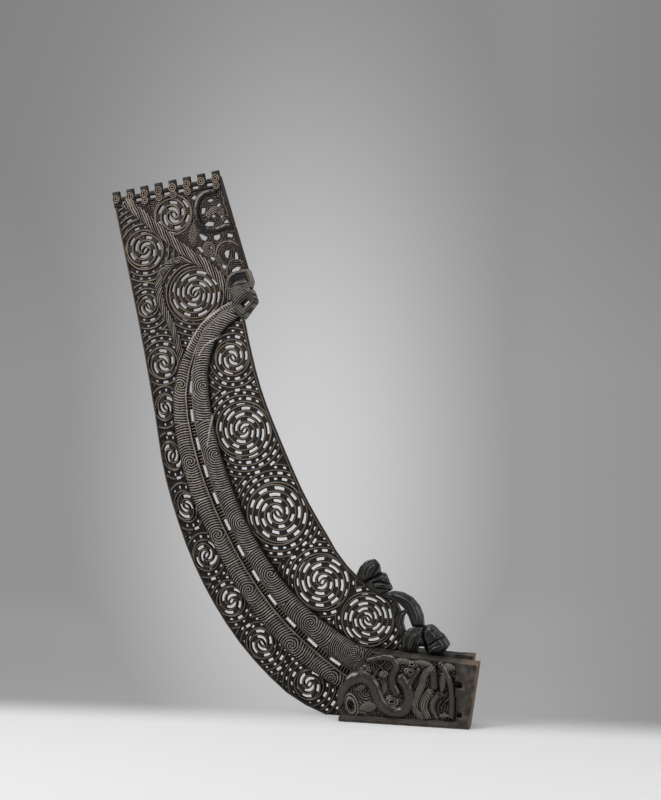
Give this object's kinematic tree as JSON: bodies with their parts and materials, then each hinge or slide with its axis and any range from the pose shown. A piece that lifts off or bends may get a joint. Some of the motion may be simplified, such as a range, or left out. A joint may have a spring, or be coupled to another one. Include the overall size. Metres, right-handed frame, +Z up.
{
  "type": "canoe sternpost",
  "caption": "Tall raking pierced slab on a thick heel: double spirals either side of two curved ribs, a toothed top rail and carved figures on the fore edge.",
  "frame": {"origin": "middle of the heel's underside, on the seat that lies on the hull", "axes": "+X towards the bow, +Z up, the slab in the XZ plane and raking aft, -Y the face nearest the picture's camera"},
  "size_m": [1.2534, 0.1722, 1.7837],
  "materials": {
    "carved_wood": "dark carved wood, dull in the cuts and rubbed on the ridges",
    "rubbed_wood": "dark wood with a handled sheen",
    "worn_wood": "dark wood worn brown at the edges and the fore end"
  },
  "bodies": {
    "root": {"heel_block": "worn_wood", "serpent_near": "rubbed_wood", "serpent_far": "rubbed_wood", "serpent_neck_near": "rubbed_wood", "serpent_neck_far": "rubbed_wood", "mask_near": "rubbed_wood", "mask_far": "rubbed_wood", "rib_head": "rubbed_wood", "outer_rib": "rubbed_wood", "inner_rib": "rubbed_wood", "rib_web": "carved_wood", "crest_rail": "carved_wood", "tongue": "rubbed_wood", "diagonal_band": "carved_wood", "scroll_band": "carved_wood", "crown_limb": "rubbed_wood", "upper_head": "rubbed_wood", "arm": "rubbed_wood", "lower_head": "rubbed_wood", "hand": "rubbed_wood", "aft_panel": "carved_wood", "heart_panel": "carved_wood", "crown_panel": "carved_wood", "fore_panel": "carved_wood", "fore_spiral_1": "carved_wood", "fore_spiral_2": "carved_wood", "fore_spiral_3": "carved_wood", "fore_spiral_4": "carved_wood", "fore_spiral_5": "carved_wood", "aft_spiral_1": "carved_wood", "aft_spiral_2": "carved_wood", "aft_spiral_3": "carved_wood", "aft_spiral_4": "carved_wood", "aft_spiral_5": "carved_wood", "aft_spiral_6": "carved_wood", "aft_spiral_7": "carved_wood", "aft_spiral_8": "carved_wood", "shoulder_spiral_1": "carved_wood", "shoulder_spiral_2": "carved_wood", "heart_spiral": "carved_wood", "crown_spiral": "carved_wood"}
  },
  "joints": []
}
